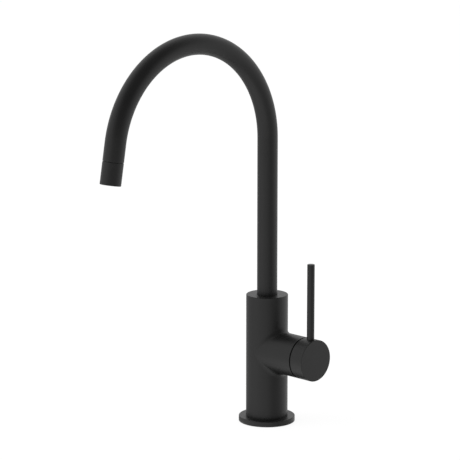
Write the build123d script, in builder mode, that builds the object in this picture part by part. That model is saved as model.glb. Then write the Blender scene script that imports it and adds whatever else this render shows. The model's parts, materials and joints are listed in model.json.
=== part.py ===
from build123d import *
import os
from math import asin, atan2, cos, degrees, hypot, radians, sin, sqrt, tan

# Gooseneck sink mixer: a round column with a side branch, a spout that swivels in the column's top
# and a pin lever on a domed joint that works a ceramic cartridge in the branch.
# Z is the column's axis with the deck at Z = 0, the spout reaches along -Y and the branch along +X.
# Lengths are in millimetres and angles in degrees. The handle is at rest in its closed position.

# Clearances
seat_gap = 0.05        # radial space in a brazed, pressed or screwed seat
running_gap = 0.08     # space of a fit that turns
free_gap = 0.3         # space between faces that move past each other

# Column and its side branch
column_d = 46.4
column_top_z = 144.3
column_edge = 0.5      # chamfer round the column's top
branch_d = 46.0
branch_z = 81.5        # height of the branch's axis
branch_end_x = 56.4    # rim where the branch turns into the dome
junction_r = 7.0       # fillet between column and branch
waterway_d = 6.0

# Foot: flange, deck seal and the brass base with its ports
flange_d = 62.6
flange_t = 6.0
flange_edge_r = 0.8
register_d = 34.0      # ring on the flange that centres it in the column
register_h = 2.0
register_wall = 1.4
base_len = 16.0
deck_seal_w = 5.0
deck_seal_t = 2.0
port_d = 9.0           # tapping size of the M10 x 1 hose ports
port_x = 5.5
port_pitch = 14.0
stud_d = 6.8           # tapping size of the M8 fixing stud
stud_x = -9.0

# Spout tube
tube_d = 22.4
tube_wall = 1.2
arc_r = 112.0
arc_centre_z = 319.0
arc_angle = 170.0
outlet_run = 43.6      # straight end after the arc, with the aerator housing

# Swivel joint in the column's top
swivel_depth = 40.0
thrust_ring_t = 2.0
spigot_plug_len = 10.0
spigot_wall = 1.7      # brass left under the retaining groove
spigot_land = 2.0      # length of each land between the spigot's grooves
o_ring_section = 2.15
o_ring_edge = 0.6      # corner of the ring's section, squeezed flat in its groove
slip_ring_h = 3.0
slip_ring_w = 1.4
retaining_w = 3.5
retaining_depth = 2.0
spout_screw_d = 5.0
spout_screw_dog_d = 2.5
spout_screw_recess = 1.0
spout_screw_dog_len = 2.6
spout_screw_key = 2.5

# Aerator
aerator_len = 24.0
aerator_edge = 0.4
nipple_plug_len = 10.0
nipple_flange_t = 0.4
nipple_flange_inset = 0.6
nipple_nose_len = 11.0
nipple_wall = 2.3
aerator_wall = 1.65
aerator_lip_t = 1.2
aerator_lip_w = 1.1
aerator_seal_t = 2.0
insert_wall = 1.4
honeycomb_t = 3.0
honeycomb_apothem = 1.0
honeycomb_web = 0.4
inlet_plate_t = 1.5
inlet_jet_d = 1.6
inlet_jet_count = 12

# Handle: cap, pin lever and the dome that they turn on
dome_setback = 15.0    # the dome's centre lies this far behind the branch's rim
dome_step = 2.0        # drop from the branch's rim to the dome, which makes the shadow gap deep
cap_gap = 1.7          # shadow gap between branch and cap
cap_len = 16.6
cap_edge_r = 0.4
boss_d = 13.0
boss_len = 9.3
lever_d = 8.2
lever_top_z = 187.9
lever_setback = 8.0    # lever's axis behind the cap's face
lever_seat_depth = 1.5
lever_seat_gap = 0.25  # dark ring round the lever's foot
lever_edge = 0.5
lever_stud_d = 5.0
handle_screw_gap = 3.0  # between the screw and the lever's stud
handle_screw_key = 2.5
key_depth = 2.5
flow_range = 18.0      # tilt of the handle from closed to full flow
temperature_range = 50.0   # turn of the handle each way from mixed
hole_margin = 2.5      # angle left round the boss at full tilt

# Cartridge, in distances along the branch from the dome's centre
cartridge_d = 35.0
cartridge_neck_d = 29.5
chamber_floor = 25.4   # depth of the chamber's floor behind the centre
base_standoff = 0.3
base_t = 4.2
disc_t = 3.5
carrier_t = 5.0
carrier_gap = 0.8
shoulder_back = 4.4    # shoulder that the ring nut bears on, behind the centre
turret_d = 26.0
turret_front = 3.8
turret_neck_d = 22.4
turret_neck_len = 2.3
housing_lip_t = 1.5
rail_len = 4.3
rail_inset = 1.0
stop_lug_w = 4.0
stop_play = 1.0        # angle left at each end of the turret's turn
moving_disc_d = 22.0
carrier_w = 18.6
peg_d = 2.5
peg_len = 1.2
peg_pitch = 13.0
disc_port_d = 5.0
inlet_pitch = 13.0
inlet_rise = 5.0
outlet_drop = 7.0
pocket_land = 0.5
pocket_wall = 1.7
pocket_depth = 1.8
water_seal_w = 1.5
water_seal_t = 1.8
nut_bore_d = 38.5
nut_len = 7.0
nut_slot_w = 4.0
nut_slot_depth = 2.0
nut_slot_count = 6
bonnet_back = 4.6      # the bonnet's skirt begins this far in front of the centre
stem_w = 7.0
stem_root = 4.0        # the square stem begins this far behind the centre
stem_front = 27.6
stem_arm = 9.9         # from the centre back to the ball at the stem's end
stem_neck_d = 3.6
ball_d = 5.0
ball_floor_gap = 0.6
pivot_pin_d = 4.0
pivot_pin_inset = 1.0

# Planes and axes
branch_plane = Plane(origin=(0, 0, branch_z), x_dir=(0, 1, 0), z_dir=(1, 0, 0))
pivot_x = branch_end_x - dome_setback
centre_plane = branch_plane.offset(pivot_x)
turning_plane = Plane(origin=(pivot_x, 0, branch_z), x_dir=(1, 0, 0), z_dir=(0, -1, 0))
branch_axis = Axis((pivot_x, 0, branch_z), (1, 0, 0))
pin_plane = Plane(origin=(pivot_x, 0, branch_z), x_dir=(1, 0, 0), z_dir=(0, 1, 0))

# Swivel levels
swivel_floor_z = column_top_z - swivel_depth
swivel_bore_d = tube_d + 2 * free_gap
ring_d = swivel_bore_d - 2 * running_gap
spigot_d = tube_d - 2 * free_gap
spigot_z = swivel_floor_z + thrust_ring_t + running_gap
o_groove_w = o_ring_section + 2 * free_gap
o_ring_mean_r = ring_d / 2 - o_ring_section / 2
o_groove_floor_r = ring_d / 2 - o_ring_section - seat_gap
o_ring_zs = [
    spigot_z + spigot_land + o_groove_w / 2,
    spigot_z + 2 * spigot_land + 1.5 * o_groove_w,
]
retaining_z = spigot_z + 3 * spigot_land + 2 * o_groove_w + retaining_w / 2
retaining_floor_r = spigot_d / 2 - retaining_depth
spigot_bore_d = 2 * (retaining_floor_r - spigot_wall)
slip_ring_z = retaining_z + retaining_w / 2 + spigot_land + slip_ring_h / 2
tube_foot_z = slip_ring_z + slip_ring_h / 2 + spigot_land
slip_groove_floor_r = ring_d / 2 - slip_ring_w - seat_gap
tube_bore_d = tube_d - 2 * tube_wall

# Dome and handle, measured along the branch from the dome's centre
dome_r = hypot(branch_d / 2 - dome_step, dome_setback)
socket_r = hypot(branch_d / 2, dome_setback) + free_gap
cap_rim = dome_setback + cap_gap
cap_face = cap_rim + cap_len
cap_rim_inner_r = sqrt(socket_r**2 - cap_rim**2)
nose_end = sqrt(dome_r**2 - (nut_bore_d / 2) ** 2)
rim_angle = degrees(atan2(branch_d / 2 - dome_step, dome_setback))
nose_angle = degrees(atan2(nut_bore_d / 2, nose_end))
bonnet_hole_angle = flow_range + degrees(asin(boss_d / 2 / dome_r)) + hole_margin
lever_x = pivot_x + cap_face - lever_setback
boss_root = cap_face - lever_setback + lever_d / 2 - boss_len
lever_seat_z = branch_z + branch_d / 2 - lever_seat_depth
lever_stud_end_z = branch_z + sqrt(socket_r**2 - (lever_x - pivot_x - lever_stud_d / 2) ** 2)
handle_screw_top_z = lever_stud_end_z - handle_screw_gap

# Cartridge stack, measured along the branch from the dome's centre
base_back = -chamber_floor + base_standoff
base_front = base_back + base_t
moving_back = base_front + disc_t
carrier_back = moving_back + disc_t
carrier_front = carrier_back + carrier_t
turret_back = carrier_front + carrier_gap
housing_bore_d = turret_d + 2 * running_gap
housing_lip_back = turret_front + free_gap
housing_front = housing_lip_back + housing_lip_t
disc_travel = stem_arm * sin(radians(flow_range))
disc_rest = -disc_travel / 2
turret_end = turret_front + turret_neck_len
slot_near = stem_w / 2 / cos(radians(flow_range)) + free_gap
slot_front_far = slot_near + turret_end * tan(radians(flow_range))
slot_back_far = slot_near + stem_root * tan(radians(flow_range))
inlet_spots = [(-inlet_pitch / 2, inlet_rise), (inlet_pitch / 2, inlet_rise)]
water_spots = inlet_spots + [(0, -outlet_drop)]
peg_spots = [(-peg_pitch / 2, disc_rest), (peg_pitch / 2, disc_rest)]
port_spots = [(port_x, -port_pitch / 2), (port_x, port_pitch / 2)]

# Outlet of the spout
joint_run = outlet_run - aerator_len - nipple_flange_t
turn = radians(arc_angle)
outlet_dir = Vector(0, -sin(turn), cos(turn))
arc_end = Vector(0, -arc_r + arc_r * cos(turn), arc_centre_z + arc_r * sin(turn))
tube_end_plane = Plane(origin=arc_end + outlet_dir * joint_run, x_dir=(1, 0, 0), z_dir=outlet_dir)
housing_plane = tube_end_plane.offset(nipple_flange_t)
aerator_bore_d = tube_d - 2 * aerator_wall
nipple_nose_d = aerator_bore_d - 2 * seat_gap
nipple_bore_d = nipple_nose_d - 2 * nipple_wall
insert_len = aerator_len - nipple_nose_len - aerator_seal_t - aerator_lip_t
insert_d = aerator_bore_d - 2 * seat_gap


# Column body with its branch, chamber, swivel bore and waterways
base_z = flange_t + register_h
base_top_z = base_z + base_len
screw_plane = Plane(origin=(0, 0, retaining_z), x_dir=(1, 0, 0), z_dir=(0, 1, 0))

with BuildPart() as column_body:
    with BuildSketch(Plane.XY.offset(flange_t)):
        Circle(column_d / 2)
    extrude(amount=column_top_z - flange_t)
    chamfer(column_body.faces().sort_by(Axis.Z)[-1].edges(), length=column_edge)
    with BuildSketch(branch_plane):
        Circle(branch_d / 2)
    extrude(amount=branch_end_x)
    junction = [
        edge
        for edge in column_body.edges()
        if edge.geom_type not in (GeomType.CIRCLE, GeomType.LINE)
    ]
    fillet(junction, radius=junction_r)
    # Spherical nose that the handle cap rides over
    with BuildSketch(turning_plane):
        with BuildLine():
            nose = CenterArc((0, 0), dome_r, nose_angle, rim_angle - nose_angle)
            Polyline(nose @ 0, (nose_end, 0), (dome_setback, 0), nose @ 1)
        make_face()
    revolve(axis=branch_axis)
    # Cartridge chamber and the wider bore of the ring nut and the bonnet
    with BuildSketch(centre_plane.offset(-chamber_floor)):
        Circle(cartridge_d / 2 + seat_gap)
    extrude(amount=chamber_floor, mode=Mode.SUBTRACT)
    with BuildSketch(centre_plane.offset(-shoulder_back)):
        Circle(nut_bore_d / 2)
    extrude(amount=shoulder_back + dome_r, mode=Mode.SUBTRACT)
    # Swivel bore from the top and the base's seat from below
    with BuildSketch(Plane.XY.offset(swivel_floor_z)):
        Circle(swivel_bore_d / 2)
    extrude(amount=swivel_depth, mode=Mode.SUBTRACT)
    with BuildSketch(Plane.XY.offset(flange_t)):
        Circle(register_d / 2 + seat_gap)
    extrude(amount=base_top_z - flange_t, mode=Mode.SUBTRACT)
    # Hot and cold ways up from the base and across to the cartridge
    with BuildSketch(Plane.XY.offset(base_top_z)):
        with Locations(*port_spots):
            Circle(waterway_d / 2)
    extrude(amount=branch_z + inlet_rise + waterway_d / 2 - base_top_z, mode=Mode.SUBTRACT)
    with BuildSketch(branch_plane.offset(port_x)):
        with Locations(*inlet_spots):
            Circle(waterway_d / 2)
    extrude(amount=pivot_x - chamber_floor - port_x, mode=Mode.SUBTRACT)
    # Mixed water back from the cartridge and up to the spout
    with BuildSketch(branch_plane):
        with Locations((0, -outlet_drop)):
            Circle(waterway_d / 2)
    extrude(amount=pivot_x - chamber_floor, mode=Mode.SUBTRACT)
    with BuildSketch(Plane.XY.offset(branch_z - outlet_drop)):
        Circle(waterway_d / 2)
    extrude(amount=swivel_floor_z - branch_z + outlet_drop, mode=Mode.SUBTRACT)
    # Hole of the screw that keeps the spout in
    with BuildSketch(screw_plane):
        Circle(spout_screw_d / 2 + seat_gap)
    extrude(amount=column_d, mode=Mode.SUBTRACT)

# Brass base screwed into the column's foot, with the hose ports and the stud hole
with BuildPart() as inlet_base:
    with BuildSketch(Plane.XY.offset(base_z)):
        Circle(register_d / 2)
        with Locations(*port_spots):
            Circle(port_d / 2, mode=Mode.SUBTRACT)
        with Locations((stud_x, 0)):
            Circle(stud_d / 2, mode=Mode.SUBTRACT)
    extrude(amount=base_len)

# Flange on the deck, with its register and the seal's groove in its underside
flange_bore_r = register_d / 2 - register_wall
deck_seal_r = (flange_d / 2 + flange_bore_r) / 2

with BuildPart() as base_flange:
    with BuildSketch():
        Circle(flange_d / 2)
    extrude(amount=flange_t)
    fillet(base_flange.faces().sort_by(Axis.Z)[-1].edges(), radius=flange_edge_r)
    with BuildSketch(Plane.XY.offset(flange_t)):
        Circle(register_d / 2)
    extrude(amount=register_h)
    with BuildSketch():
        Circle(flange_bore_r)
    extrude(amount=base_z, mode=Mode.SUBTRACT)
    with BuildSketch():
        Circle(deck_seal_r + deck_seal_w / 2 + seat_gap)
        Circle(deck_seal_r - deck_seal_w / 2 - seat_gap, mode=Mode.SUBTRACT)
    extrude(amount=deck_seal_t, mode=Mode.SUBTRACT)

with BuildPart() as deck_seal:
    with BuildSketch():
        Circle(deck_seal_r + deck_seal_w / 2)
        Circle(deck_seal_r - deck_seal_w / 2, mode=Mode.SUBTRACT)
    extrude(amount=deck_seal_t)

# Spout tube, bent in one arc
with BuildPart() as spout_tube:
    with BuildLine(Plane.YZ):
        riser = Line((0, tube_foot_z), (0, arc_centre_z))
        bend = JernArc(riser @ 1, riser % 1, arc_r, arc_angle)
        Line(bend @ 1, bend @ 1 + (bend % 1) * joint_run)
    with BuildSketch(Plane.XY.offset(tube_foot_z)):
        Circle(tube_d / 2)
        Circle(tube_bore_d / 2, mode=Mode.SUBTRACT)
    sweep()

# Spigot brazed into the tube's foot, with its grooves from the bottom up
with BuildPart() as spout_spigot:
    with BuildSketch(Plane.XY.offset(spigot_z)):
        Circle(spigot_d / 2)
    extrude(amount=tube_foot_z - spigot_z)
    with BuildSketch(Plane.XY.offset(tube_foot_z)):
        Circle(tube_bore_d / 2 - seat_gap)
    extrude(amount=spigot_plug_len)
    grooves = [(z, o_groove_w, o_groove_floor_r) for z in o_ring_zs]
    grooves.append((retaining_z, retaining_w, retaining_floor_r))
    grooves.append((slip_ring_z, slip_ring_h, slip_groove_floor_r))
    for middle_z, width, floor_r in grooves:
        with BuildSketch(Plane.XY.offset(middle_z - width / 2)):
            Circle(spigot_d / 2)
            Circle(floor_r, mode=Mode.SUBTRACT)
        extrude(amount=width, mode=Mode.SUBTRACT)
    with BuildSketch(Plane.XY.offset(spigot_z)):
        Circle(spigot_bore_d / 2)
    extrude(amount=tube_foot_z + spigot_plug_len - spigot_z, mode=Mode.SUBTRACT)

with BuildPart() as spout_o_rings:
    for middle_z in o_ring_zs:
        with BuildSketch(Plane.XZ) as section:
            with Locations((o_ring_mean_r, middle_z)):
                Rectangle(o_ring_section, o_groove_w - free_gap)
            chamfer(section.vertices(), length=o_ring_edge)
        revolve(axis=Axis.Z)

with BuildPart() as spout_slip_ring:
    with BuildSketch(Plane.XY.offset(slip_ring_z - slip_ring_h / 2)):
        Circle(ring_d / 2)
        Circle(ring_d / 2 - slip_ring_w, mode=Mode.SUBTRACT)
    extrude(amount=slip_ring_h)

with BuildPart() as spout_thrust_ring:
    with BuildSketch(Plane.XY.offset(swivel_floor_z)):
        Circle(ring_d / 2)
        Circle(spigot_bore_d / 2, mode=Mode.SUBTRACT)
    extrude(amount=thrust_ring_t)

# Screw in the column's back whose dog point runs in the spigot's groove
spout_screw_end = column_d / 2 - spout_screw_recess
spout_dog_tip = retaining_floor_r + free_gap

with BuildPart() as spout_screw:
    with BuildSketch(screw_plane.offset(spout_dog_tip)):
        Circle(spout_screw_dog_d / 2)
    extrude(amount=spout_screw_dog_len)
    with BuildSketch(screw_plane.offset(spout_dog_tip + spout_screw_dog_len)):
        Circle(spout_screw_d / 2)
    extrude(amount=spout_screw_end - spout_dog_tip - spout_screw_dog_len)
    with BuildSketch(screw_plane.offset(spout_screw_end)):
        RegularPolygon(spout_screw_key / 2, 6, major_radius=False)
    extrude(amount=-key_depth, mode=Mode.SUBTRACT)

# Nipple brazed into the tube's outlet end; its flange makes the dark line over the housing
with BuildPart() as outlet_nipple:
    with BuildSketch(tube_end_plane.offset(-nipple_plug_len)):
        Circle(tube_bore_d / 2 - seat_gap)
    extrude(amount=nipple_plug_len)
    with BuildSketch(tube_end_plane):
        Circle(tube_d / 2 - nipple_flange_inset)
    extrude(amount=nipple_flange_t)
    with BuildSketch(housing_plane):
        Circle(nipple_nose_d / 2)
    extrude(amount=nipple_nose_len)
    with BuildSketch(tube_end_plane.offset(-nipple_plug_len)):
        Circle(nipple_bore_d / 2)
    extrude(amount=nipple_plug_len + nipple_flange_t + nipple_nose_len, mode=Mode.SUBTRACT)

with BuildPart() as aerator_housing:
    with BuildSketch(housing_plane):
        Circle(tube_d / 2)
    extrude(amount=aerator_len)
    ends = aerator_housing.faces().filter_by(GeomType.PLANE)
    chamfer(ends.edges(), length=aerator_edge)
    with BuildSketch(housing_plane):
        Circle(aerator_bore_d / 2)
    extrude(amount=aerator_len - aerator_lip_t, mode=Mode.SUBTRACT)
    with BuildSketch(housing_plane):
        Circle(aerator_bore_d / 2 - aerator_lip_w)
    extrude(amount=aerator_len, mode=Mode.SUBTRACT)

seal_plane = housing_plane.offset(nipple_nose_len)
insert_plane = seal_plane.offset(aerator_seal_t)

with BuildPart() as aerator_seal:
    with BuildSketch(seal_plane):
        Circle(insert_d / 2)
        Circle(nipple_bore_d / 2, mode=Mode.SUBTRACT)
    extrude(amount=aerator_seal_t)

# Aerator insert: a plate of fine jets over an air chamber and a honeycomb straightener
cell_pitch = 2 * honeycomb_apothem + honeycomb_web
cell_reach = insert_d / 2 - insert_wall - 2 * honeycomb_apothem / sqrt(3)
cells_across = 2 * int(insert_d / cell_pitch) + 1
cell_spots = [
    spot
    for spot in HexLocations(cell_pitch / 2, cells_across, cells_across)
    if spot.position.length < cell_reach
]
jet_ring_r = nipple_bore_d / 2 - inlet_jet_d

with BuildPart() as aerator_insert:
    with BuildSketch(insert_plane):
        Circle(insert_d / 2)
        with PolarLocations(jet_ring_r, inlet_jet_count):
            Circle(inlet_jet_d / 2, mode=Mode.SUBTRACT)
    extrude(amount=inlet_plate_t)
    with BuildSketch(insert_plane.offset(inlet_plate_t)):
        Circle(insert_d / 2)
        Circle(insert_d / 2 - insert_wall, mode=Mode.SUBTRACT)
    extrude(amount=insert_len - inlet_plate_t - honeycomb_t)
    with BuildSketch(insert_plane.offset(insert_len - honeycomb_t)):
        Circle(insert_d / 2)
        with Locations(*cell_spots):
            RegularPolygon(honeycomb_apothem, 6, major_radius=False, mode=Mode.SUBTRACT)
    extrude(amount=honeycomb_t)

# Cartridge base, with three water holes and their seals
seal_r = waterway_d / 2 + water_seal_w

with BuildPart() as cartridge_base:
    with BuildSketch(centre_plane.offset(base_back)):
        Circle(cartridge_d / 2)
        with Locations(*water_spots):
            Circle(waterway_d / 2, mode=Mode.SUBTRACT)
    extrude(amount=base_t)
    with BuildSketch(centre_plane.offset(base_back)):
        with Locations(*water_spots):
            Circle(seal_r + seat_gap)
    extrude(amount=water_seal_t - base_standoff, mode=Mode.SUBTRACT)

with BuildPart() as cartridge_seals:
    with BuildSketch(centre_plane.offset(-chamber_floor)):
        with Locations(*water_spots):
            Circle(seal_r)
            Circle(waterway_d / 2, mode=Mode.SUBTRACT)
    extrude(amount=water_seal_t)

# Cartridge housing: a cup on the base, with the ring nut's shoulder and a lip that keeps the turret
notch_angle = temperature_range + degrees(asin(stop_lug_w / turret_neck_d)) + stop_play

with BuildPart() as cartridge_housing:
    with BuildSketch(centre_plane.offset(base_front)):
        Circle(cartridge_d / 2)
    extrude(amount=-shoulder_back - base_front)
    with BuildSketch(centre_plane.offset(-shoulder_back)):
        Circle(cartridge_neck_d / 2)
    extrude(amount=shoulder_back + housing_front)
    with BuildSketch(centre_plane.offset(base_front)):
        Circle(housing_bore_d / 2)
    extrude(amount=housing_lip_back - base_front, mode=Mode.SUBTRACT)
    with BuildSketch(centre_plane.offset(base_front)):
        Circle(turret_neck_d / 2 + free_gap)
    extrude(amount=housing_front - base_front, mode=Mode.SUBTRACT)
    # Notch in the lip that the turret's lug turns in
    with BuildSketch(centre_plane.offset(housing_lip_back)):
        with BuildLine():
            notch = CenterArc((0, 0), housing_bore_d / 2, 90 - notch_angle, 2 * notch_angle)
            Polyline(notch @ 1, (0, 0), notch @ 0)
        make_face()
    extrude(amount=housing_lip_t, mode=Mode.SUBTRACT)

# Ceramic discs
with BuildPart() as fixed_disc:
    with BuildSketch(centre_plane.offset(base_front)):
        Circle(housing_bore_d / 2 - seat_gap)
        with Locations(*water_spots):
            Circle(disc_port_d / 2, mode=Mode.SUBTRACT)
    extrude(amount=disc_t)

with BuildPart() as moving_disc:
    with BuildSketch(centre_plane.offset(moving_back)):
        with Locations((0, disc_rest)):
            Circle(moving_disc_d / 2)
    extrude(amount=disc_t)
    with BuildSketch(centre_plane.offset(moving_back)):
        with Locations((0, disc_rest)):
            Circle(moving_disc_d / 2 - pocket_wall)
        with Locations((0, inlet_rise - disc_port_d / 2 - pocket_land)):
            Rectangle(
                moving_disc_d, moving_disc_d, align=(Align.CENTER, Align.MIN), mode=Mode.SUBTRACT
            )
    extrude(amount=pocket_depth, mode=Mode.SUBTRACT)
    with BuildSketch(centre_plane.offset(carrier_back)):
        with Locations(*peg_spots):
            Circle(peg_d / 2 + seat_gap)
    extrude(amount=-peg_len, mode=Mode.SUBTRACT)

# Carrier that the stem's ball pushes across, with its two pegs in the moving disc
with BuildPart() as disc_carrier:
    with BuildSketch(centre_plane.offset(carrier_back)):
        with Locations((0, disc_rest)):
            Circle(moving_disc_d / 2)
            Rectangle(carrier_w, moving_disc_d, mode=Mode.INTERSECT)
    extrude(amount=carrier_t)
    with BuildSketch(centre_plane.offset(carrier_back)):
        with Locations(*peg_spots):
            Circle(peg_d / 2)
    extrude(amount=-peg_len)
    with BuildSketch(centre_plane.offset(carrier_front)):
        Circle(ball_d / 2 + free_gap)
    extrude(amount=-stem_arm - ball_d / 2 - ball_floor_gap - carrier_front, mode=Mode.SUBTRACT)

# Turret that turns with the handle, with rails that guide the carrier and a lug that stops its turn
slot_w = stem_w + 2 * free_gap

with BuildPart() as cartridge_turret:
    with BuildSketch(centre_plane.offset(turret_back)):
        Circle(turret_d / 2)
    extrude(amount=turret_front - turret_back)
    with BuildSketch(centre_plane.offset(turret_front)):
        Circle(turret_neck_d / 2)
    extrude(amount=turret_neck_len)
    with BuildSketch(centre_plane.offset(turret_back)):
        Circle(turret_d / 2 - rail_inset)
        Rectangle(carrier_w + 2 * free_gap, turret_d, mode=Mode.SUBTRACT)
    extrude(amount=-rail_len)
    with BuildSketch(centre_plane.offset(turret_front)):
        with Locations((0, turret_neck_d / 2)):
            Rectangle(stop_lug_w, turret_d - turret_neck_d - 2 * free_gap)
    extrude(amount=turret_neck_len)
    # Slot whose two halves stop the stem at closed and at full flow
    with BuildSketch(centre_plane.offset(turret_end)):
        with Locations((0, (slot_near - slot_front_far) / 2)):
            Rectangle(slot_w, slot_near + slot_front_far)
    extrude(amount=-turret_end, mode=Mode.SUBTRACT)
    with BuildSketch(centre_plane):
        with Locations((0, (slot_back_far - slot_near) / 2)):
            Rectangle(slot_w, slot_near + slot_back_far)
    extrude(amount=turret_back, mode=Mode.SUBTRACT)
    with BuildSketch(pin_plane):
        Circle(pivot_pin_d / 2 + seat_gap)
    extrude(amount=turret_d / 2, both=True, mode=Mode.SUBTRACT)

with BuildPart() as pivot_pin:
    with BuildSketch(pin_plane):
        Circle(pivot_pin_d / 2)
    extrude(amount=turret_d / 2 - pivot_pin_inset, both=True)

# Stem on the pivot pin: a ball at the back for the carrier and a square end in the handle cap
with BuildPart() as cartridge_stem:
    with BuildSketch(centre_plane.offset(-stem_root)):
        Rectangle(stem_w, stem_w)
    extrude(amount=stem_root + stem_front)
    with BuildSketch(centre_plane.offset(-stem_root)):
        Circle(stem_neck_d / 2)
    extrude(amount=-(stem_arm - stem_root))
    with Locations((pivot_x - stem_arm, 0, branch_z)):
        Sphere(ball_d / 2)
    with BuildSketch(pin_plane):
        Circle(pivot_pin_d / 2 + running_gap)
    extrude(amount=stem_w, both=True, mode=Mode.SUBTRACT)

# Slotted ring nut on the housing's shoulder
with BuildPart() as cartridge_nut:
    with BuildSketch(centre_plane.offset(-shoulder_back)):
        Circle(nut_bore_d / 2 - seat_gap)
        Circle(cartridge_neck_d / 2 + free_gap, mode=Mode.SUBTRACT)
    extrude(amount=nut_len)
    with BuildSketch(centre_plane.offset(nut_len - shoulder_back)):
        with PolarLocations(nut_bore_d / 2, nut_slot_count):
            Rectangle(nut_bore_d / 4, nut_slot_w)
    extrude(amount=-nut_slot_depth, mode=Mode.SUBTRACT)

# Bonnet ring that carries the dome's curve on from the branch's nose
bonnet_r = nut_bore_d / 2 - seat_gap
bonnet_bore_r = max(
    dome_r * sin(radians(bonnet_hole_angle)), cartridge_neck_d / 2 + free_gap
)
bonnet_bore_angle = degrees(asin(bonnet_bore_r / dome_r))
bonnet_angle = degrees(asin(bonnet_r / dome_r))

with BuildPart() as bonnet:
    with BuildSketch(turning_plane):
        with BuildLine():
            front = CenterArc((0, 0), dome_r, bonnet_bore_angle, bonnet_angle - bonnet_bore_angle)
            Polyline(front @ 1, (bonnet_back, bonnet_r), (bonnet_back, bonnet_bore_r), front @ 0)
        make_face()
    revolve(axis=branch_axis)

# Handle cap with its spherical socket, the stem's boss and the lever's hole
lever_plane = Plane(origin=(lever_x, 0, branch_z), x_dir=(1, 0, 0), z_dir=(0, 0, 1))
cap_rim_angle = degrees(atan2(cap_rim_inner_r, cap_rim))
stem_hole_w = stem_w + 2 * seat_gap

with BuildPart() as handle_cap:
    with BuildSketch(turning_plane):
        with BuildLine():
            socket = CenterArc((0, 0), socket_r, 0, cap_rim_angle)
            Polyline(
                socket @ 1, (cap_rim, branch_d / 2), (cap_face, branch_d / 2), (cap_face, 0), socket @ 0
            )
        make_face()
    revolve(axis=branch_axis)
    fillet(handle_cap.faces().sort_by(Axis.X)[-1].edges(), radius=cap_edge_r)
    with BuildSketch(centre_plane.offset(boss_root)):
        Circle(boss_d / 2)
    extrude(amount=cap_face - cap_edge_r - boss_root)
    with BuildSketch(centre_plane.offset(boss_root)):
        Rectangle(stem_hole_w, stem_hole_w)
    extrude(amount=stem_front + free_gap - boss_root, mode=Mode.SUBTRACT)
    with BuildSketch(lever_plane):
        Circle(lever_stud_d / 2 + seat_gap)
    extrude(amount=branch_d / 2, mode=Mode.SUBTRACT)
    with BuildSketch(lever_plane.offset(lever_seat_z - branch_z)):
        Circle(lever_d / 2 + lever_seat_gap)
    extrude(amount=lever_d, mode=Mode.SUBTRACT)

with BuildPart() as lever_pin:
    with BuildSketch(lever_plane.offset(lever_seat_z - branch_z)):
        Circle(lever_d / 2)
    extrude(amount=lever_top_z - lever_seat_z)
    chamfer(lever_pin.faces().sort_by(Axis.Z)[-1].edges(), length=lever_edge)
    with BuildSketch(lever_plane.offset(lever_seat_z - branch_z)):
        Circle(lever_stud_d / 2)
    extrude(amount=lever_stud_end_z - lever_seat_z)

# Screw under the lever that clamps the cap on the stem
with BuildPart() as handle_screw:
    with BuildSketch(lever_plane.offset(stem_w / 2)):
        Circle(lever_stud_d / 2)
    extrude(amount=handle_screw_top_z - branch_z - stem_w / 2)
    with BuildSketch(lever_plane.offset(handle_screw_top_z - branch_z)):
        RegularPolygon(handle_screw_key / 2, 6, major_radius=False)
    extrude(amount=-key_depth, mode=Mode.SUBTRACT)

pieces = {
    "column_body": column_body,
    "inlet_base": inlet_base,
    "base_flange": base_flange,
    "deck_seal": deck_seal,
    "spout_tube": spout_tube,
    "spout_spigot": spout_spigot,
    "spout_o_rings": spout_o_rings,
    "spout_slip_ring": spout_slip_ring,
    "spout_thrust_ring": spout_thrust_ring,
    "spout_screw": spout_screw,
    "outlet_nipple": outlet_nipple,
    "aerator_housing": aerator_housing,
    "aerator_seal": aerator_seal,
    "aerator_insert": aerator_insert,
    "cartridge_base": cartridge_base,
    "cartridge_seals": cartridge_seals,
    "cartridge_housing": cartridge_housing,
    "fixed_disc": fixed_disc,
    "moving_disc": moving_disc,
    "disc_carrier": disc_carrier,
    "cartridge_turret": cartridge_turret,
    "pivot_pin": pivot_pin,
    "cartridge_stem": cartridge_stem,
    "cartridge_nut": cartridge_nut,
    "bonnet": bonnet,
    "handle_cap": handle_cap,
    "lever_pin": lever_pin,
    "handle_screw": handle_screw,
}

os.makedirs("parts", exist_ok=True)
for name, piece in pieces.items():
    piece.part.label = name
    export_step(piece.part, f"parts/{name}.step")
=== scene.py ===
import json
from math import atan2, ceil, cos, pi, radians, sin, tan

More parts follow.
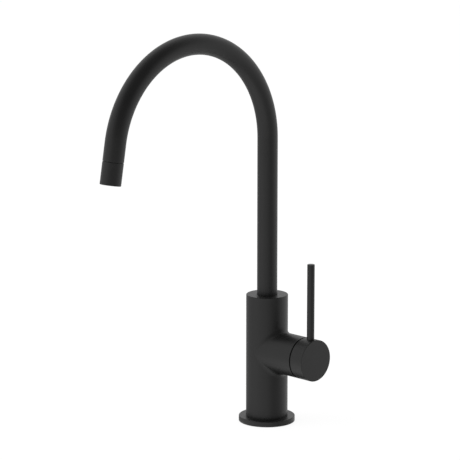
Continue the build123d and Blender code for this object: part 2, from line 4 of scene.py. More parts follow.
import bmesh
import bpy
from bpy.props import FloatProperty, FloatVectorProperty, IntProperty, PointerProperty
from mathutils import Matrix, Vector


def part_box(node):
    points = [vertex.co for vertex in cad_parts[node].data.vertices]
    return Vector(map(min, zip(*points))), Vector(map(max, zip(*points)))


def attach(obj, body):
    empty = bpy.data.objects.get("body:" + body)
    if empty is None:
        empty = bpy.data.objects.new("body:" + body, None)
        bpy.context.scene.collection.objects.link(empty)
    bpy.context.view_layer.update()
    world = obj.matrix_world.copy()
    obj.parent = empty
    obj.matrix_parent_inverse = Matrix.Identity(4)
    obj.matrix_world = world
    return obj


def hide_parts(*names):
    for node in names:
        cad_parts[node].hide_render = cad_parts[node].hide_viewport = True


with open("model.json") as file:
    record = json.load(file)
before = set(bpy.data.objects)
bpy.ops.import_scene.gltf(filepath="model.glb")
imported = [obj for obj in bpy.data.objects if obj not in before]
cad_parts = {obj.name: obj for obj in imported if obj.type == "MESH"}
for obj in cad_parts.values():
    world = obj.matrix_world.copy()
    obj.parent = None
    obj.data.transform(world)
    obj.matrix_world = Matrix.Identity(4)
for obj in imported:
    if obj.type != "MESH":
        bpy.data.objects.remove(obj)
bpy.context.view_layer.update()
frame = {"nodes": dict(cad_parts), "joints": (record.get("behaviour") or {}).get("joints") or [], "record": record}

bl_info = {
    "name": "Gooseneck Mixer Finishes",
    "version": (1, 0, 0),
    "blender": (4, 5, 0),
    "location": "View3D > Sidebar > Mixer",
    "description": "Coated skins, threads, finishes and a studio for a gooseneck sink mixer",
    "category": "Object",
}

UP = Vector((0, 0, 1))
SHARP_EDGE = radians(32)  # an edge that turns by more than this stays sharp
EDGE_STEPS = 6  # faces across a rounded edge

joints = {joint["name"]: joint for joint in frame["joints"]}
mounts = {mount["name"]: mount for mount in frame["record"]["mounts"]}
slot_colours = {entry["slot"]: entry["base_color"] for entry in frame["record"]["materials"]}


def line(entry):
    """The line of a joint or mount: a point on it and its direction."""
    return Vector(entry["pos_m"]), Vector(entry["axis"])


# Lines that the turned pieces were made round
turning_axes = {
    "column": (Vector((0, 0, 0)), UP),
    "branch": line(joints["temperature"]),
    "outlet": line(mounts["spout_outlet"]),
}


def length(name, default, description):
    """Property for a length in metres."""
    return FloatProperty(
        name=name, default=default, description=description, min=0, precision=5, unit="LENGTH"
    )


def angle(name, default, description):
    """Property for an angle, with its default in degrees."""
    return FloatProperty(
        name=name, default=radians(default), description=description, precision=3, subtype="ANGLE"
    )


def share(name, default, description):
    """Property for a share from 0 to 1."""
    return FloatProperty(
        name=name, default=default, description=description, min=0, max=1, subtype="FACTOR"
    )


def strength(name, default, description):
    """Property for the strength of a glow, of which 1 is white."""
    return FloatProperty(name=name, default=default, description=description, min=0)


def colour(name, default, description):
    """Property for a colour."""
    return FloatVectorProperty(
        name=name, default=default, description=description, min=0, max=1, size=3, subtype="COLOR"
    )


def position(name, default, description):
    """Property for a place in metres."""
    return FloatVectorProperty(
        name=name, default=default, description=description, size=3, subtype="TRANSLATION"
    )


class MixerSizes(bpy.types.PropertyGroup):
    """Sizes of the skins and threads that the frame's boxes don't give"""

    coated_edge: length("Coated edge", 0.00025, "Rounding that the coating leaves on a sharp edge")
    flange_edge: length("Flange edge", 0.0008, "Rounding of the flange's top edge")
    register_wall: length(
        "Register wall", 0.0014, "Wall of the ring that centres the flange in the column"
    )
    seal_gap: length("Seal gap", 0.00005, "Space round the deck seal in its groove")
    tube_wall: length("Tube wall", 0.0012, "Wall of the spout tube")
    tube_step: length("Tube step", 0.003, "Longest face of the spout's skin along the tube")
    arc_radius: length("Arc radius", 0.112, "Radius of the spout's bend along the tube's middle")
    arc_turn: angle("Arc turn", 170, "Angle that the spout's bend turns through")
    tube_joint: length("Tube joint", 0.0004, "Gap between the tube's end and the aerator housing")
    housing_length: length("Housing length", 0.024, "Length of the aerator housing")
    housing_edge: length("Housing edge", 0.0004, "Chamfer at the ends of the aerator housing")
    housing_wall: length("Housing wall", 0.00165, "Wall of the aerator housing")
    housing_lip: length("Housing lip", 0.0011, "Width of the lip that holds the aerator insert")
    housing_lip_depth: length(
        "Lip depth", 0.0012, "Thickness of the lip that holds the aerator insert"
    )
    lever_edge: length("Lever edge", 0.0005, "Rounding of the lever's tip")
    lever_stud: length("Lever stud", 0.005, "Diameter of the lever's stud in the handle cap")
    lever_seat: length("Lever seat", 0.0015, "Depth that the lever stands in the handle cap")
    port_thread: length("Port thread", 0.010, "Outer diameter of the thread in the hose ports")
    port_pitch: length("Port pitch", 0.001, "Pitch of the thread in the hose ports")
    stud_thread: length(
        "Stud thread", 0.008, "Outer diameter of the thread in the fixing stud's hole"
    )
    stud_pitch: length("Stud pitch", 0.00125, "Pitch of the thread in the fixing stud's hole")
    thread_mouth: length("Thread mouth", 0.0004, "Countersink at the mouth of a tapped hole")
    segments: IntProperty(
        name="Segments", default=128, min=24, description="Sides of a round skin"
    )


class MixerFinish(bpy.types.PropertyGroup):
    """Colours and gloss of the finishes"""

    coat: colour("Coat", (0.0085, 0.0085, 0.0085), "Colour of the black coating")
    coat_mottle: colour(
        "Coat mottle", (0.0115, 0.0115, 0.0115), "Paler tone in the black coating's mottle"
    )
    coat_roughness: share("Coat roughness", 0.42, "Middle roughness of the black coating")
    coat_peel: length("Coat peel", 0.0014, "Width of the coating's orange-peel ripples")
    coat_peel_height: length(
        "Coat peel height", 0.000004, "Height of the coating's orange-peel ripples"
    )
    brass: colour("Brass", slot_colours["brass"], "Colour of the bare brass")
    brass_dull: colour("Dull brass", (0.50, 0.36, 0.16), "Colour of the brass where it has dulled")
    brass_roughness: share("Brass roughness", 0.2, "Least roughness of the bare brass")
    rubber: colour("Rubber", slot_colours["rubber"], "Colour of the seals")
    rubber_roughness: share("Rubber roughness", 0.68, "Least roughness of the seals")
    cartridge: colour(
        "Cartridge", slot_colours["cartridge_plastic"], "Colour of the cartridge's plastic"
    )
    aerator: colour("Aerator", slot_colours["aerator_plastic"], "Colour of the aerator's plastic")
    plastic_roughness: share("Plastic roughness", 0.42, "Least roughness of the plastics")
    ceramic: colour("Ceramic", slot_colours["ceramic"], "Colour of the ceramic discs")
    ceramic_roughness: share("Ceramic roughness", 0.1, "Least roughness of the ceramic discs")
    steel: colour("Steel", slot_colours["steel"], "Colour of the screws, pin and stem")
    steel_roughness: share("Steel roughness", 0.24, "Least roughness of the screws, pin and stem")


class MixerStudio(bpy.types.PropertyGroup):
    """Camera, floor and light"""

    camera_azimuth: angle(
        "Camera azimuth", 44.642, "Direction of the camera round the column from the front"
    )
    camera_distance: length(
        "Camera distance", 2.567895, "Level distance of the camera from the column"
    )
    camera_height: length("Camera height", 0.732321, "Height of the camera above the deck")
    camera_pitch: angle("Camera pitch", 11.362, "Angle that the camera looks down")
    camera_yaw: angle("Camera yaw", 0.917, "Angle that the camera looks past the column")
    camera_lens: FloatProperty(
        name="Camera lens",
        default=186.2,
        description="Focal length on a 36 mm sensor",
        unit="CAMERA",
    )
    floor_size: length("Floor size", 14.0, "Side of the floor")
    floor_drop: length("Floor drop", 0.0003, "Depth of the floor below the foot")
    floor: colour("Floor", (0.82, 0.82, 0.82), "Colour of the floor")
    floor_white: strength("Floor white", 1.12, "Strength of the floor's own white")
    floor_glow: share("Floor glow", 0.78, "Share of the floor's own white, which takes no shadow")
    # Painted shade: the next two darken the floor's left and right sides only where the object's gloss sees them
    floor_left: share("Floor left", 0.41, "Darkening of the floor's left side in reflections")
    floor_right: share("Floor right", 0.38, "Darkening of the floor's right side in reflections")
    # Painted shadow: darkens the floor next to the foot only where the object's gloss sees it
    floor_foot: share(
        "Floor foot", 0.26, "Darkening of the floor to the left of the foot in reflections"
    )
    # Painted light: a glow on the floor ahead, seen only in reflections, in place of the light of a front lamp
    floor_front: share(
        "Floor front", 0.45, "Share of the front light's glow in the floor's reflections"
    )
    front_glow: strength("Front glow", 1.5, "Strength of the front light's glow on the floor")
    ambient: share("Ambient", 0.77, "Level of the soft light from all round")
    dim_azimuth: angle("Dim azimuth", 65.5, "Direction of the middle of the studio's dim side")
    dim_elevation: angle("Dim elevation", 48.5, "Height of the middle of the studio's dim side")
    dim_inner: angle("Dim inner", 32, "Angle within which the dim side is fully dim")
    dim_outer: angle("Dim outer", 74, "Angle at which the dim side has turned white")
    dim_depth: share("Dim depth", 0.91, "Darkening of the dim side in reflections")
    key_power: FloatProperty(
        name="Key power",
        default=14,
        description="Power of the large soft lamp",
        min=0,
        unit="POWER",
    )
    key_size: length("Key size", 1.6, "Side of the large soft lamp")
    key_place: position("Key place", (-0.9, -1.5, 1.9), "Place of the large soft lamp")
    key_aim: position("Key aim", (0, -0.08, 0.18), "Point that the large soft lamp looks at")


class Wire:
    """An output socket of a shader tree, whose arithmetic adds Math nodes to that tree."""

    def __init__(self, socket):
        self.socket = socket

    def maths(self, operation, *operands):
        """A wire from a Math node that works on values and wires."""
        tree, settings = self.socket.id_data, {"operation": operation}
        return add_node(tree, "ShaderNodeMath", settings, dict(enumerate(operands)))

    def __add__(self, other):
        return self.maths("ADD", self, other)

    def __radd__(self, other):
        return self.maths("ADD", other, self)

    def __sub__(self, other):
        return self.maths("SUBTRACT", self, other)

    def __rsub__(self, other):
        return self.maths("SUBTRACT", other, self)

    def __mul__(self, other):
        return self.maths("MULTIPLY", self, other)

    def __rmul__(self, other):
        return self.maths("MULTIPLY", other, self)

    def __pow__(self, other):
        return self.maths("POWER", self, other)

    def __rpow__(self, other):
        return self.maths("POWER", other, self)

    def __or__(self, other):
        return self.maths("MAXIMUM", self, other)

    def __ror__(self, other):
        return self.maths("MAXIMUM", other, self)


def add_node(tree, kind, settings, inputs, output=0):
    """Add a node of a kind: its settings first, then the values or wires of its sockets.

    Returns a wire from one of its outputs, or None for the node that ends a tree.
    """
    node = tree.nodes.new(kind)
    for name, value in settings.items():
        setattr(node, name, value)
    for key, value in inputs.items():
        if isinstance(value, Wire):
            tree.links.new(value.socket, node.inputs[key])
        else:
            node.inputs[key].default_value = value
    return Wire(node.outputs[output]) if node.outputs else None


def solid(rgb):
    """A colour with full cover, as a colour socket takes it."""
    return (*rgb, 1)


def mix_colour(tree, amount, first, second):
    """Mix of two colours."""
    # The node has a set of sockets for each kind of value, and these are the ones for colours
    sockets = {0: amount, 6: solid(first), 7: solid(second)}
    return add_node(tree, "ShaderNodeMix", {"data_type": "RGBA"}, sockets, output=2)


def mix_shader(tree, amount, first, second):
    """Mix of two shaders."""
    return add_node(tree, "ShaderNodeMixShader", {}, {0: amount, 1: first, 2: second})


def vector_maths(tree, operation, output, *vectors):
    """A wire from a Vector Math node's Vector or Value."""
    settings = {"operation": operation}
    return add_node(tree, "ShaderNodeVectorMath", settings, dict(enumerate(vectors)), output)


def noise(tree, where, width, detail=2.0):
    """Noise from 0 to 1 whose grains have about this width."""
    sockets = {"Vector": where, "Scale": 1 / width, "Detail": detail}
    return add_node(tree, "ShaderNodeTexNoise", {"noise_dimensions": "3D"}, sockets)


def bump(tree, relief, height):
    """Normal of a surface whose relief from 0 to 1 stands up by this height."""
    return add_node(tree, "ShaderNodeBump", {}, {"Distance": height, "Height": relief}, "Normal")


def new_material(name):
    """A material with an empty tree."""
    material = bpy.data.materials.new(name)
    material.use_nodes = True
    material.node_tree.nodes.clear()
    return material


def satin_black(tree, where, settings):
    """Satin black powder coating: orange-peel ripples, fine grain and a faint mottle."""
    mottle_width, mottle_dulling = 0.018, 0.05
    grain_width, grain_dulling, grain_relief = 0.00035, 0.03, 0.25
    mottle = noise(tree, where, mottle_width)
    grain = noise(tree, where, grain_width)
    peel = noise(tree, where, settings.coat_peel)
    least = settings.coat_roughness - (mottle_dulling + grain_dulling) / 2
    return {
        "Base Color": mix_colour(tree, mottle, settings.coat, settings.coat_mottle),
        "Roughness": least + mottle_dulling * mottle + grain_dulling * grain,
        "IOR": 1.39,
        "Normal": bump(tree, peel + grain_relief * grain, settings.coat_peel_height),
    }


def turned_brass(tree, where, settings, axis):
    """Bare brass with the fine rings that turning leaves round its axis, dulled in places."""
    rings_per_metre, ring_height, ring_dulling = 5000.0, 0.000006, 0.16
    stain_width, stain_detail, stain_dulling = 0.006, 4.0, 0.1
    start, direction = turning_axes[axis]
    offset = vector_maths(tree, "SUBTRACT", "Vector", where, start)
    along = vector_maths(tree, "DOT_PRODUCT", "Value", offset, direction)
    reach_squared = vector_maths(tree, "DOT_PRODUCT", "Value", offset, offset)
    across = (reach_squared - along * along) ** 0.5
    rings = add_node(
        tree,
        "ShaderNodeTexNoise",
        {"noise_dimensions": "1D"},
        {"W": along + across, "Scale": rings_per_metre},
    )
    stain = noise(tree, where, stain_width, stain_detail)
    return {
        "Base Color": mix_colour(tree, stain * stain, settings.brass, settings.brass_dull),
        "Metallic": 1.0,
        "Roughness": settings.brass_roughness + ring_dulling * rings + stain_dulling * stain,
        "Normal": bump(tree, rings, ring_height),
    }


def moulded_rubber(tree, where, settings):
    """Matte seal rubber with the grain of its mould and a trace of bloom."""
    bloom_width, bloom_detail, bloom_paling, bloom_dulling = 0.004, 3.0, 1.9, 0.15
    grain_width, grain_height = 0.0002, 0.00001
    bloom = noise(tree, where, bloom_width, bloom_detail)
    grain = noise(tree, where, grain_width)
    return {
        "Base Color": mix_colour(tree, bloom, settings.rubber, settings.rubber * bloom_paling),
        "Roughness": settings.rubber_roughness + bloom_dulling * bloom,
        "Normal": bump(tree, grain, grain_height),
    }


def moulded_plastic(tree, where, settings, shade):
    """Moulded plastic: a faint flow pattern and the grain of its mould."""
    flow_width, flow_darkening, flow_dulling = 0.009, 0.93, 0.12
    grain_width, grain_height = 0.0003, 0.000008
    flow = noise(tree, where, flow_width)
    grain = noise(tree, where, grain_width)
    return {
        "Base Color": mix_colour(tree, flow, shade * flow_darkening, shade),
        "Roughness": settings.plastic_roughness + flow_dulling * flow,
        "Normal": bump(tree, grain, grain_height),
    }


def cartridge_acetal(tree, where, settings):
    """Plastic of the cartridge."""
    return moulded_plastic(tree, where, settings, settings.cartridge)


def aerator_acetal(tree, where, settings):
    """Plastic of the aerator insert."""
    return moulded_plastic(tree, where, settings, settings.aerator)


def lapped_ceramic(tree, where, settings):
    """Lapped alumina: almost a mirror, with faint pores."""
    pore_width, pore_detail, pore_sharpness = 0.0004, 4.0, 3
    pore_darkening, pore_dulling = 0.8, 0.35
    pores = noise(tree, where, pore_width, pore_detail) ** pore_sharpness
    return {
        "Base Color": mix_colour(tree, pores, settings.ceramic, settings.ceramic * pore_darkening),
        "Roughness": settings.ceramic_roughness + pore_dulling * pores,
        "IOR": 1.76,
    }


def machined_steel(tree, where, settings):
    """Stainless steel with fine tool marks."""
    mark_width, mark_detail, mark_dulling, mark_height = 0.0005, 3.0, 0.14, 0.000004
    haze_width, haze_darkening = 0.005, 0.85
    marks = noise(tree, where, mark_width, mark_detail)
    haze = noise(tree, where, haze_width)
    return {
        "Base Color": mix_colour(tree, haze, settings.steel, settings.steel * haze_darkening),
        "Metallic": 1.0,
        "Roughness": settings.steel_roughness + mark_dulling * marks,
        "Normal": bump(tree, marks, mark_height),
    }


# The finish of each material slot: a function that gives the sockets of its Principled surface
FINISHES = {
    "black_finish": satin_black,
    "brass": turned_brass,
    "rubber": moulded_rubber,
    "cartridge_plastic": cartridge_acetal,
    "aerator_plastic": aerator_acetal,
    "ceramic": lapped_ceramic,
    "steel": machined_steel,
}


def finish(slot, axis="column"):
    """The material of a slot, made once, and brass once for each axis that its rings go round."""
    make = FINISHES[slot]
    marks = (axis,) if make is turned_brass else ()
    name = "_".join((make.__name__, *marks))
    material = bpy.data.materials.get(name)
    if material is None:
        material = new_material(name)
        tree = material.node_tree
        where = add_node(tree, "ShaderNodeTexCoord", {}, {}, "Object")
        sockets = make(tree, where, bpy.context.scene.mixer_finish, *marks)
        surface = add_node(tree, "ShaderNodeBsdfPrincipled", {}, sockets)
        add_node(tree, "ShaderNodeOutputMaterial", {}, {"Surface": surface})
    return material


def ring(bm, centre, along, radius, count):
    """Vertices of a circle round a direction in the YZ plane, from +X on."""
    side = Vector((1, 0, 0))
    across = along.cross(side)
    turns = [2 * pi * i / count for i in range(count)]
    spokes = [cos(turn) * side + sin(turn) * across for turn in turns]
    return [bm.verts.new(centre + radius * spoke) for spoke in spokes]


def bridge(bm, rings):
    """Quads from each ring of vertices to the next."""
    for near, far in zip(rings, rings[1:]):
        for i in range(len(near)):
            bm.faces.new((near[i - 1], near[i], far[i], far[i - 1]))


def rounded(corners):
    """Points of an outline, from corners given as radius, height and rounding."""
    outline = []
    for i, (radius, height, rounding) in enumerate(corners):
        corner = Vector((radius, height))
        if not rounding:
            outline.append(corner)
            continue
        back = (Vector(corners[i - 1][:2]) - corner).normalized()
        ahead = (Vector(corners[(i + 1) % len(corners)][:2]) - corner).normalized()
        half = back.angle(ahead) / 2
        centre = corner + (back + ahead).normalized() * rounding / sin(half)
        first = corner + back * rounding / tan(half) - centre
        last = corner + ahead * rounding / tan(half) - centre
        start = atan2(first.y, first.x)
        sweep = (atan2(last.y, last.x) - start + pi) % (2 * pi) - pi
        for step in range(EDGE_STEPS + 1):
            turn = start + sweep * step / EDGE_STEPS
            outline.append(centre + rounding * Vector((cos(turn), sin(turn))))
    return outline


def divided(outline, step):
    """A closed outline with its long sides cut into lengths of at most step."""
    points = []
    for near, far in zip(outline, outline[1:] + outline[:1]):
        parts = ceil((far - near).length / step)
        points += [near.lerp(far, i / parts) for i in range(parts)]
    return points


def lathe(bm, outline, place, count, closed=True):
    """Turn an outline of radius and height round a line.

    The function place gives the line's point and direction at a height. An outline that isn't
    closed gets a flat face at each end.
    """
    rings = [ring(bm, *place(point.y), point.x, count) for point in outline]
    if closed:
        bridge(bm, rings + rings[:1])
    else:
        bridge(bm, rings)
        bm.faces.new(rings[0])
        bm.faces.new(rings[-1])


def upright(height):
    """Point and direction of the column's axis at a height."""
    return Vector((0, 0, height)), UP


def add_piece(name, bm, body, slot, node):
    """Make a bmesh a smooth piece that rides on a body and stands for a CAD node."""
    bmesh.ops.recalc_face_normals(bm, faces=bm.faces)
    mesh = bpy.data.meshes.new(name)
    bm.to_mesh(mesh)
    bm.free()
    mesh.shade_smooth()
    mesh.set_sharp_from_angle(angle=SHARP_EDGE)
    mesh.materials.append(finish(slot))
    piece = bpy.data.objects.new(name, mesh)
    bpy.context.scene.collection.objects.link(piece)
    even = piece.modifiers.new("Even shading", "WEIGHTED_NORMAL")
    even.keep_sharp = True
    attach(piece, body)
    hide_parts(node)


class MIXER_OT_flange(bpy.types.Operator):
    """Build the coated flange with its register and the groove of the deck seal"""

    bl_idname = "mixer.flange"
    bl_label = "Flange"

    def execute(self, context):
        sizes = context.scene.mixer_sizes
        low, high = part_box("base_flange")
        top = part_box("column_body")[0].z
        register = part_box("inlet_base")[1].x
        bore = register - sizes.register_wall
        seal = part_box("deck_seal")[1]
        # The groove lies midway between the bore and the rim
        seal_out = seal.x + sizes.seal_gap
        seal_in = bore + high.x - seal_out
        edge = sizes.coated_edge
        corners = [
            (bore, low.z, edge),
            (seal_in, low.z, 0),
            (seal_in, seal.z, 0),
            (seal_out, seal.z, 0),
            (seal_out, low.z, 0),
            (high.x, low.z, edge),
            (high.x, top, sizes.flange_edge),
            (register, top, 0),
            (register, high.z, edge),
            (bore, high.z, edge),
        ]
        bm = bmesh.new()
        lathe(bm, rounded(corners), upright, sizes.segments)
        add_piece("flange_skin", bm, "column", "black_finish", "base_flange")
        return {"FINISHED"}


class MIXER_OT_inlets(bpy.types.Operator):
    """Build the brass base with its tapped hose ports and fixing stud hole"""

    bl_idname = "mixer.inlets"
    bl_label = "Tapped inlets"

    def tapped_hole(self, bm, mount, thread, pitch, mouth, ends):
        """Helical wall of a tapped hole; returns the vertices round its lower and upper mouth."""
        columns, rows_per_turn = 48, 8
        flank_slope, crest_flat = 2.6, 0.15
        low, high = ends
        centre = Vector((mount["pos_m"][0], mount["pos_m"][1], 0))
        minor, major = mount["dims"]["r_mm"] / 1000, thread / 2
        rows = ceil((high - low) / pitch * rows_per_turn)
        rings = []
        for row in range(rows + 1):
            z = low + (high - low) * row / rows
            into = min(z - low, high - z)
            wall = []
            for column in range(columns):
                turn = column / columns
                phase = ((z - low) / pitch - turn) % 1
                flank = min(1, max(0, flank_slope * abs(phase - 0.5) - crest_flat))
                thread_r = minor + (major - minor) * flank
                countersink_r = major + mouth - into
                radius = max(thread_r, countersink_r)
                spoke = Vector((cos(2 * pi * turn), sin(2 * pi * turn), 0))
                wall.append(bm.verts.new(centre + spoke * radius + Vector((0, 0, z))))
            rings.append(wall)
        bridge(bm, rings)
        return rings[0], rings[-1]

    def fill(self, bm, loops):
        """Close a flat face between its outer loop and the loops of its holes."""
        edges = [bm.edges.get((loop[i - 1], loop[i])) for loop in loops for i in range(len(loop))]
        bmesh.ops.triangle_fill(bm, edges=edges, use_beauty=True)

    def execute(self, context):
        sizes = context.scene.mixer_sizes
        low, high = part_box("inlet_base")
        ends = (low.z, high.z)
        bm = bmesh.new()
        wall = [ring(bm, *upright(z), high.x, sizes.segments) for z in ends]
        bridge(bm, wall)
        holes = [
            ("hot_inlet", sizes.port_thread, sizes.port_pitch),
            ("cold_inlet", sizes.port_thread, sizes.port_pitch),
            ("fixing_stud_hole", sizes.stud_thread, sizes.stud_pitch),
        ]
        mouths = [
            self.tapped_hole(bm, mounts[name], thread, pitch, sizes.thread_mouth, ends)
            for name, thread, pitch in holes
        ]
        self.fill(bm, [wall[0]] + [lower for lower, upper in mouths])
        self.fill(bm, [wall[1]] + [upper for lower, upper in mouths])
        add_piece("tapped_base", bm, "column", "brass", "inlet_base")
        return {"FINISHED"}


class MIXER_OT_spout(bpy.types.Operator):
    """Build the coated spout tube along its riser, its bend and its straight end"""

    bl_idname = "mixer.spout"
    bl_label = "Spout tube"

    def execute(self, context):
        sizes = context.scene.mixer_sizes
        low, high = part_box("spout_tube")
        tube_r = high.x
        arc_r, arc_turn = sizes.arc_radius, sizes.arc_turn
        arc_z = high.z - tube_r - arc_r
        riser = arc_z - low.z

        def place(run):
            """Point and direction of the tube's middle after a run from its lower end."""
            turn = min(max(run - riser, 0) / arc_r, arc_turn)
            along = Vector((0, -sin(turn), cos(turn)))
            bend = Vector((0, arc_r * (cos(turn) - 1), arc_z + arc_r * sin(turn)))
            past = run - riser - turn * arc_r
            return bend + along * past, along

        outlet, outward = turning_axes["outlet"]
        bend_run = riser + arc_turn * arc_r
        bend_end = place(bend_run)[0]
        housing = sizes.housing_length + sizes.tube_joint
        run = bend_run + (outlet - bend_end).dot(outward) - housing
        bore_r = tube_r - sizes.tube_wall
        edge = sizes.coated_edge
        corners = [
            (tube_r, 0, edge),
            (tube_r, run, edge),
            (bore_r, run, 0),
            (bore_r, 0, 0),
        ]
        bm = bmesh.new()
        lathe(bm, divided(rounded(corners), sizes.tube_step), place, sizes.segments)
        add_piece("spout_skin", bm, "spout", "black_finish", "spout_tube")
        return {"FINISHED"}


class MIXER_OT_aerator(bpy.types.Operator):
    """Build the coated aerator housing with its chamfers and the lip round the insert"""

    bl_idname = "mixer.aerator"
    bl_label = "Aerator housing"

    def execute(self, context):
        sizes = context.scene.mixer_sizes
        outlet, outward = turning_axes["outlet"]

        def place(height):
            """Point and direction of the housing's axis at a height above the outlet."""
            return outlet - outward * height, -outward

        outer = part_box("aerator_housing")[1].x
        bore = outer - sizes.housing_wall
        mouth = bore - sizes.housing_lip
        top, lip = sizes.housing_length, sizes.housing_lip_depth
        cut, edge = sizes.housing_edge, sizes.coated_edge / 2
        corners = [
            (mouth, 0, edge),
            (outer - cut, 0, edge),
            (outer, cut, edge),
            (outer, top - cut, edge),
            (outer - cut, top, edge),
            (bore, top, 0),
            (bore, lip, 0),
            (mouth, lip, 0),
        ]
        bm = bmesh.new()
        lathe(bm, rounded(corners), place, sizes.segments)
        add_piece("aerator_skin", bm, "spout", "black_finish", "aerator_housing")
        return {"FINISHED"}


class MIXER_OT_lever(bpy.types.Operator):
    """Build the coated lever pin with its rounded tip and its stud"""

    bl_idname = "mixer.lever"
    bl_label = "Lever pin"

    def execute(self, context):
        sizes = context.scene.mixer_sizes
        low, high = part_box("lever_pin")
        middle = (low + high) / 2
        lever_r, stud_r = (high.x - low.x) / 2, sizes.lever_stud / 2
        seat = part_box("handle_cap")[1].z - sizes.lever_seat

        def place(height):
            """Point and direction of the lever's axis at a height."""
            return Vector((middle.x, middle.y, height)), UP

        corners = [
            (stud_r, low.z, 0),
            (stud_r, seat, 0),
            (lever_r, seat, 0),
            (lever_r, high.z, sizes.lever_edge),
            (0, high.z, 0),
        ]
        bm = bmesh.new()
        # The corner on the axis only gives the rounded tip its direction
        lathe(bm, rounded(corners)[:-1], place, sizes.segments, closed=False)
        add_piece("lever_skin", bm, "handle", "black_finish", "lever_pin")
        return {"FINISHED"}


class MIXER_OT_finishes(bpy.types.Operator):
    """Give each CAD node the finish of its material slot"""

    bl_idname = "mixer.finishes"
    bl_label = "Finishes"

    def axis_of(self, node):
        """The turning axis that runs nearest to the middle of a node."""
        low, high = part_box(node)
        middle = (low + high) / 2

        def gap(name):
            """Distance from the node's middle to an axis."""
            start, along = turning_axes[name]
            return (middle - start).cross(along).length

        return min(turning_axes, key=gap)

    def execute(self, context):
        for name, node in frame["nodes"].items():
            slot = node.material_slots[0].material.name
            node.material_slots[0].material = finish(slot, self.axis_of(name))
        return {"FINISHED"}


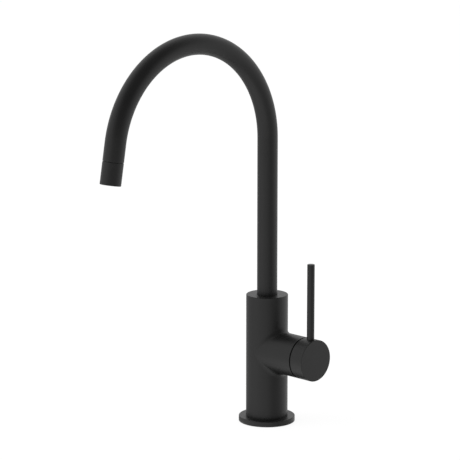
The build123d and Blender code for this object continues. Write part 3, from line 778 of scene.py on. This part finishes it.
class MIXER_OT_stage(bpy.types.Operator):
    """Build the floor, the surroundings, the lamp and the camera"""

    bl_idname = "mixer.stage"
    bl_label = "Stage"

    def seen(self, tree):
        """1 for the rays that should see the white of the studio, else 0."""
        rays = ("Is Camera Ray", "Is Glossy Ray", "Is Transmission Ray")
        camera, glossy, through = (
            add_node(tree, "ShaderNodeLightPath", {}, {}, ray) for ray in rays
        )
        return camera | glossy | through

    def reflected(self, tree, surface, amount, brightness):
        """A surface that the object's gloss sees mixed with a glow of some brightness."""
        glossy = add_node(tree, "ShaderNodeLightPath", {}, {}, "Is Glossy Ray")
        glow = add_node(tree, "ShaderNodeEmission", {}, {"Strength": brightness})
        return mix_shader(tree, glossy * amount, surface, glow)

    def ramp(self, tree, value, start, end):
        """Smooth step from 0 at start to 1 at end."""
        return add_node(
            tree,
            "ShaderNodeMapRange",
            {"interpolation_type": "SMOOTHSTEP"},
            {"Value": value, "From Min": start, "From Max": end},
        )

    def floor_reflections(self, tree, studio, surface):
        """The floor as the gloss sees it: painted light ahead, painted shade at the sides and foot."""
        # Where each ramp starts and ends: how far the direction from the foot points right or
        # ahead, from -1 to 1, and for the last ramp the distance from the foot
        left_span, right_span, foot_span = (-0.31, -0.95), (0.75, 0.98), (0.0, -0.6)
        ahead_span, near_span = (0.1, 0.9), (0.12, 0.04)
        place = add_node(tree, "ShaderNodeNewGeometry", {}, {}, "Position")
        way = vector_maths(tree, "NORMALIZE", "Vector", place)
        across = vector_maths(tree, "DOT_PRODUCT", "Value", way, (1, 0, 0))
        ahead = vector_maths(tree, "DOT_PRODUCT", "Value", way, (0, -1, 0))
        reach = vector_maths(tree, "LENGTH", "Value", place)
        # Painted shade on the floor's sides, seen only in reflections
        left = studio.floor_left * self.ramp(tree, across, *left_span)
        right = studio.floor_right * self.ramp(tree, across, *right_span)
        # Painted shadow near the foot, seen only in reflections
        near = self.ramp(tree, reach, *near_span)
        foot = studio.floor_foot * near * self.ramp(tree, across, *foot_span)
        # Painted light on the floor ahead, seen only in reflections
        front = studio.floor_front * self.ramp(tree, ahead, *ahead_span)
        bright = self.reflected(tree, surface, front, studio.front_glow)
        return self.reflected(tree, bright, left + right + foot, 0.0)

    def floor(self, studio):
        """Pale floor that keeps the object's shadow and is clear from below."""
        material = new_material("pale_floor")
        tree = material.node_tree
        lit = add_node(tree, "ShaderNodeBsdfDiffuse", {}, {"Color": solid(studio.floor)})
        white = add_node(tree, "ShaderNodeEmission", {}, {"Strength": studio.floor_white})
        pale = mix_shader(tree, studio.floor_glow * self.seen(tree), lit, white)
        above = self.floor_reflections(tree, studio, pale)
        below = add_node(tree, "ShaderNodeBsdfTransparent", {}, {})
        under = add_node(tree, "ShaderNodeNewGeometry", {}, {}, "Backfacing")
        both = mix_shader(tree, under, above, below)
        add_node(tree, "ShaderNodeOutputMaterial", {}, {"Surface": both})
        half, z = studio.floor_size / 2, -studio.floor_drop
        corners = [(-half, -half, z), (half, -half, z), (half, half, z), (-half, half, z)]
        mesh = bpy.data.meshes.new("floor")
        mesh.from_pydata(corners, [], [(0, 1, 2, 3)])
        mesh.materials.append(material)
        floor = bpy.data.objects.new("floor", mesh)
        bpy.context.scene.collection.objects.link(floor)

    def patch(self, tree, azimuth, elevation, inner, outer):
        """1 in the middle of a round patch of the surroundings, fading to 0 at its edge."""
        level = cos(elevation)
        middle = (sin(azimuth) * level, -cos(azimuth) * level, sin(elevation))
        way = add_node(tree, "ShaderNodeTexCoord", {}, {}, "Generated")
        facing = vector_maths(tree, "DOT_PRODUCT", "Value", way, middle)
        return self.ramp(tree, facing, cos(outer), cos(inner))

    def surroundings(self, studio):
        """White all round, softer as light, with a side that is dim in reflections."""
        world = bpy.data.worlds.new("studio")
        world.use_nodes = True
        tree = world.node_tree
        tree.nodes.clear()
        white = solid((1, 1, 1))
        soft, full = (
            add_node(tree, "ShaderNodeBackground", {}, {"Color": white, "Strength": level})
            for level in (studio.ambient, 1.0)
        )
        room = mix_shader(tree, self.seen(tree), soft, full)
        dim = self.patch(
            tree, studio.dim_azimuth, studio.dim_elevation, studio.dim_inner, studio.dim_outer
        )
        dimmed = self.reflected(tree, room, studio.dim_depth * dim, 0.0)
        add_node(tree, "ShaderNodeOutputWorld", {}, {"Surface": dimmed})
        bpy.context.scene.world = world

    def set_up(self, name, data, location, direction):
        """Put a lamp or camera in its place and point it in a direction."""
        rig = bpy.data.objects.new(name, data)
        rig.location = location
        rig.rotation_mode = "QUATERNION"
        rig.rotation_quaternion = direction.to_track_quat("-Z", "Y")
        bpy.context.scene.collection.objects.link(rig)
        return rig

    def lamp(self, studio):
        """Large soft lamp, which neither the camera nor the object's gloss sees."""
        light = bpy.data.lights.new("key", "AREA")
        light.shape = "SQUARE"
        light.size = studio.key_size
        light.energy = studio.key_power
        lamp = self.set_up("key", light, studio.key_place, studio.key_aim - studio.key_place)
        lamp.visible_camera = False
        lamp.visible_glossy = False

    def camera(self, studio):
        """Camera at the photograph's viewing angle."""
        azimuth = studio.camera_azimuth
        level = Vector((sin(azimuth), -cos(azimuth), 0)) * studio.camera_distance
        heading = atan2(-level.y, -level.x) + studio.camera_yaw
        ahead = Vector((cos(heading), sin(heading), -tan(studio.camera_pitch)))
        optics = bpy.data.cameras.new("camera")
        optics.lens = studio.camera_lens
        location = level + Vector((0, 0, studio.camera_height))
        bpy.context.scene.camera = self.set_up("camera", optics, location, ahead)

    def execute(self, context):
        studio = context.scene.mixer_studio
        self.floor(studio)
        self.surroundings(studio)
        self.lamp(studio)
        self.camera(studio)
        context.scene.view_settings.view_transform = "Standard"
        return {"FINISHED"}


GROUPS = {"mixer_sizes": MixerSizes, "mixer_finish": MixerFinish, "mixer_studio": MixerStudio}
OPERATORS = (
    MIXER_OT_flange,
    MIXER_OT_inlets,
    MIXER_OT_spout,
    MIXER_OT_aerator,
    MIXER_OT_lever,
    MIXER_OT_finishes,
    MIXER_OT_stage,
)


class MIXER_PT_sidebar(bpy.types.Panel):
    """Pieces, sizes, finishes and studio of the mixer"""

    bl_idname = "MIXER_PT_sidebar"
    bl_label = "Gooseneck mixer"
    bl_space_type = "VIEW_3D"
    bl_region_type = "UI"
    bl_category = "Mixer"

    def draw(self, context):
        for operator in OPERATORS:
            self.layout.operator(operator.bl_idname)
        for name, group in GROUPS.items():
            box = self.layout.box()
            for field in group.__annotations__:
                box.prop(getattr(context.scene, name), field)


def register():
    """Add the settings, the operators and the panel to Blender."""
    for cls in (*GROUPS.values(), *OPERATORS, MIXER_PT_sidebar):
        bpy.utils.register_class(cls)
    for name, group in GROUPS.items():
        setattr(bpy.types.Scene, name, PointerProperty(type=group))


def unregister():
    """Take the settings, the operators and the panel out again."""
    for name in GROUPS:
        delattr(bpy.types.Scene, name)
    for cls in (MIXER_PT_sidebar, *reversed(OPERATORS), *GROUPS.values()):
        bpy.utils.unregister_class(cls)


def main():
    """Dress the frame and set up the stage."""
    register()
    bpy.ops.mixer.flange()
    bpy.ops.mixer.inlets()
    bpy.ops.mixer.spout()
    bpy.ops.mixer.aerator()
    bpy.ops.mixer.lever()
    bpy.ops.mixer.finishes()
    bpy.ops.mixer.stage()


if __name__ == "__main__":
    main()
